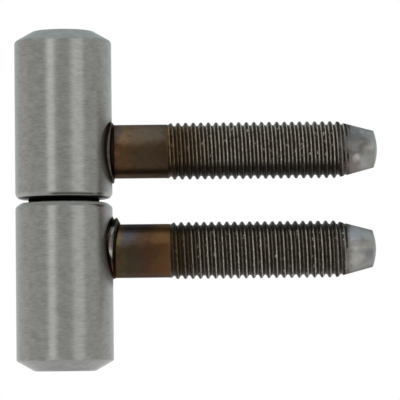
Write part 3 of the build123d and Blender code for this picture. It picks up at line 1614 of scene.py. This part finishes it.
@dataclass
class Hinge:
    """The whole hinge: two halves, each a barrel with its stud and weld, and the bearing between them."""

    door_form: StudForm = StudForm("door_stud", thread_start=21.0, crest_phase=0.107)
    frame_form: StudForm = StudForm("frame_stud", thread_start=21.4, crest_phase=0.39)
    door_tints: Tints = tints(
        (0.0, 78, 62, 52), (0.08, 104, 84, 74), (0.2, 136, 106, 80), (0.35, 116, 94, 76),
        (0.6, 110, 94, 80), (0.85, 104, 88, 76), (1.0, 90, 74, 62),
    )
    # Darker copies of the door tints, for the painted shade on the shank's underside
    door_shaded_tints: Tints = tints(
        (0.0, 66, 50, 40), (0.06, 92, 64, 48), (0.15, 90, 68, 45), (0.3, 83, 63, 43),
        (0.45, 78, 64, 48), (0.7, 77, 61, 47), (1.0, 70, 54, 41),
    )
    frame_tints: Tints = tints(
        (0.0, 96, 70, 44), (0.07, 130, 112, 82), (0.2, 98, 90, 92), (0.35, 98, 86, 82),
        (0.5, 98, 76, 62), (0.7, 108, 78, 56), (0.85, 120, 87, 56), (1.0, 118, 86, 55),
    )
    # Darker copies of the frame tints, for the painted shade on the shank's underside
    frame_shaded_tints: Tints = tints(
        (0.0, 80, 60, 44), (0.08, 82, 68, 48), (0.25, 68, 60, 46), (0.45, 74, 57, 45),
        (0.65, 80, 56, 41), (0.85, 93, 64, 42), (1.0, 98, 70, 46),
    )
    door_marks: tuple[Mark, ...] = (
        Mark(11.6, 3.8, 0.8, 0.9, linear(96, 86, 90), 0.6),
        Mark(12.8, 4.3, 0.8, 0.8, linear(98, 90, 66), 0.6),
        Mark(11.2, -0.9, 0.6, 0.8, linear(114, 72, 58), 0.5),
        Mark(12.5, -2.4, 1.0, 0.9, linear(104, 66, 50), 0.3),
        Mark(60.2, 1.0, 3.2, 2.7, linear(104, 101, 101), 0.8),
        Mark(61.6, 0.5, 1.2, 0.9, linear(86, 84, 82), 0.6),
        Mark(60.3, -1.8, 0.6, 0.7, linear(206, 193, 186), 0.7),
        Mark(59.8, -2.3, 0.5, 0.9, linear(190, 176, 168), 0.5),
        Mark(59.2, -3.6, 1.8, 1.3, linear(130, 117, 112), 0.7),
        Mark(62.6, -1.2, 1.3, 2.0, linear(150, 144, 136), 0.5),
    )
    frame_marks: tuple[Mark, ...] = (
        Mark(13.5, 2.6, 1.4, 1.2, linear(96, 94, 102), 0.4),
        # Painted shade: a dark band along the top of the shank, on the side that faces the door stud
        Mark(14.6, 5.3, 6.0, 1.0, linear(62, 60, 64), 0.85),
        Mark(59.6, 2.4, 1.3, 2.6, linear(170, 169, 178), 0.6),
        Mark(62.2, 3.2, 1.6, 1.6, linear(158, 158, 160), 0.5),
        Mark(61.2, 0.9, 3.4, 0.8, linear(112, 110, 107), 0.6),
        Mark(58.2, -2.5, 0.6, 2.6, linear(158, 152, 142), 0.5),
        Mark(60.0, -1.8, 1.4, 2.0, linear(182, 177, 169), 0.65),
        Mark(61.8, -0.4, 1.8, 0.9, linear(132, 131, 128), 0.5),
        Mark(61.8, -3.6, 2.4, 1.2, linear(146, 146, 138), 0.5),
    )

    def build(self) -> None:
        """Builds all pieces, one sub-assembly after another."""
        self.door_half()
        self.frame_half()
        HingePin(PlainSteel("ground_pin_steel")).build()
        black = PlainSteel("blackened_washer_steel", linear(14, 13, 12), linear(7, 6, 6), 0.6, edge=0.1)
        ThrustWasher(black).build()

    def door_half(self) -> None:
        """Builds the upper barrel, its stud and its weld."""
        form = self.door_form
        Barrel(
            "door_barrel",
            Body.DOOR_HALF,
            GroundSteel("door_barrel_steel", stud_height=form.height),
            bore_radius=5.05,
            bore_depth=23.2,
            inner_edge_width=0.75,
            inner_edge_height=0.8,
            shoulder_round=0.5,
        ).build()
        steel = StudSteel(
            "door_stud_steel",
            form,
            self.door_tints,
            self.door_shaded_tints,
            self.door_marks,
            dim_side=(-2.2, -3.7),
        )
        ThreadedStud(form, "door_barrel", Body.DOOR_HALF, steel).build()
        WeldFlash(
            "door_stud_weld",
            "door_barrel",
            Body.DOOR_HALF,
            BurntWeld("door_weld_steel", stud_height=form.height),
            form.height,
            top=FlashSection((
                (0.0, 6.35), (0.0, 6.15), (0.0, 6.02), (10.02, 5.93), (10.06, 5.93), (10.12, 5.93),
                (10.2, 5.9), (10.28, 5.82), (10.36, 5.68), (10.45, 5.58), (10.55, 5.54),
            )),
            side=FlashSection((
                (0.0, 6.5), (0.0, 6.1), (8.3, 5.95), (8.78, 5.88), (9.06, 6.1), (9.3, 6.22),
                (9.52, 6.22), (9.68, 6.08), (9.88, 5.75), (10.3, 5.6), (10.62, 5.56),
            )),
            bottom=FlashSection((
                (0.0, 6.9), (0.0, 6.6), (0.0, 6.45), (9.95, 6.45), (10.1, 6.5), (10.2, 6.55),
                (10.32, 6.5), (10.4, 6.3), (10.45, 6.0), (10.5, 5.7), (10.55, 5.54),
            )),
            corner=0.5,
        ).build()

    def frame_half(self) -> None:
        """Builds the lower barrel, its stud and its weld."""
        form = self.frame_form
        Barrel(
            "frame_barrel",
            Body.FRAME_HALF,
            GroundSteel("frame_barrel_steel", stud_height=form.height, edge_dull=0.8, seed=31.0),
            bore_radius=5.0,
            bore_depth=21.0,
            inner_edge_width=1.25,
            inner_edge_height=0.9,
            upright=False,
        ).build()
        steel = StudSteel(
            "frame_stud_steel",
            form,
            self.frame_tints,
            self.frame_shaded_tints,
            self.frame_marks,
            dim_side=(3.2, 4.4),
            burnt_start=0.4,
            burnt_length=9.0,
            burnt_flank=linear(118, 91, 54),
            inner_flank_shade=0.55,
            seed=11.0,
        )
        ThreadedStud(form, "frame_barrel", Body.FRAME_HALF, steel).build()
        WeldFlash(
            "frame_stud_weld",
            "frame_barrel",
            Body.FRAME_HALF,
            BurntWeld(
                "frame_weld_steel",
                stud_height=form.height,
                ridge=linear(84, 86, 80),
                ridge_start=(0.47, 0.54),
                ridge_end=(0.84, 0.77),
                outline=(8.66, 1.5, 0.031),
                crescent_bottom=(-2.0, -1.6),
                crescent_top=(5.0, 4.6),
                seed=5.0,
            ),
            form.height,
            top=FlashSection((
                (0.0, 7.3), (0.0, 7.1), (10.0, 6.98), (10.12, 6.95), (10.22, 6.8), (10.3, 6.62),
                (10.42, 6.62), (10.6, 6.85), (10.85, 6.98), (11.1, 6.7), (11.35, 6.15), (11.65, 5.56),
            )),
            side=FlashSection((
                (0.0, 6.2), (8.15, 5.85), (8.5, 5.75), (8.8, 5.8), (8.98, 5.95), (9.15, 6.25),
                (9.5, 6.42), (9.95, 6.42), (10.2, 6.3), (10.3, 5.9), (10.5, 5.6), (10.75, 5.56),
            )),
            bottom=FlashSection((
                (0.0, 6.0), (0.0, 5.9), (0.0, 5.85), (10.02, 5.78), (10.05, 5.72), (10.08, 5.7),
                (10.15, 5.7), (10.25, 5.7), (10.35, 5.68), (10.4, 5.64), (10.5, 5.58), (10.7, 5.54),
            )),
        ).build()


def main() -> None:
    """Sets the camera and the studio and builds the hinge."""
    logging.basicConfig(level=logging.INFO, format="%(message)s", stream=sys.stdout)
    bpy.context.scene.view_settings.view_transform = "Standard"
    PhotoCamera().place()
    Studio().build()
    Hinge().build()


if __name__ == "__main__":
    main()
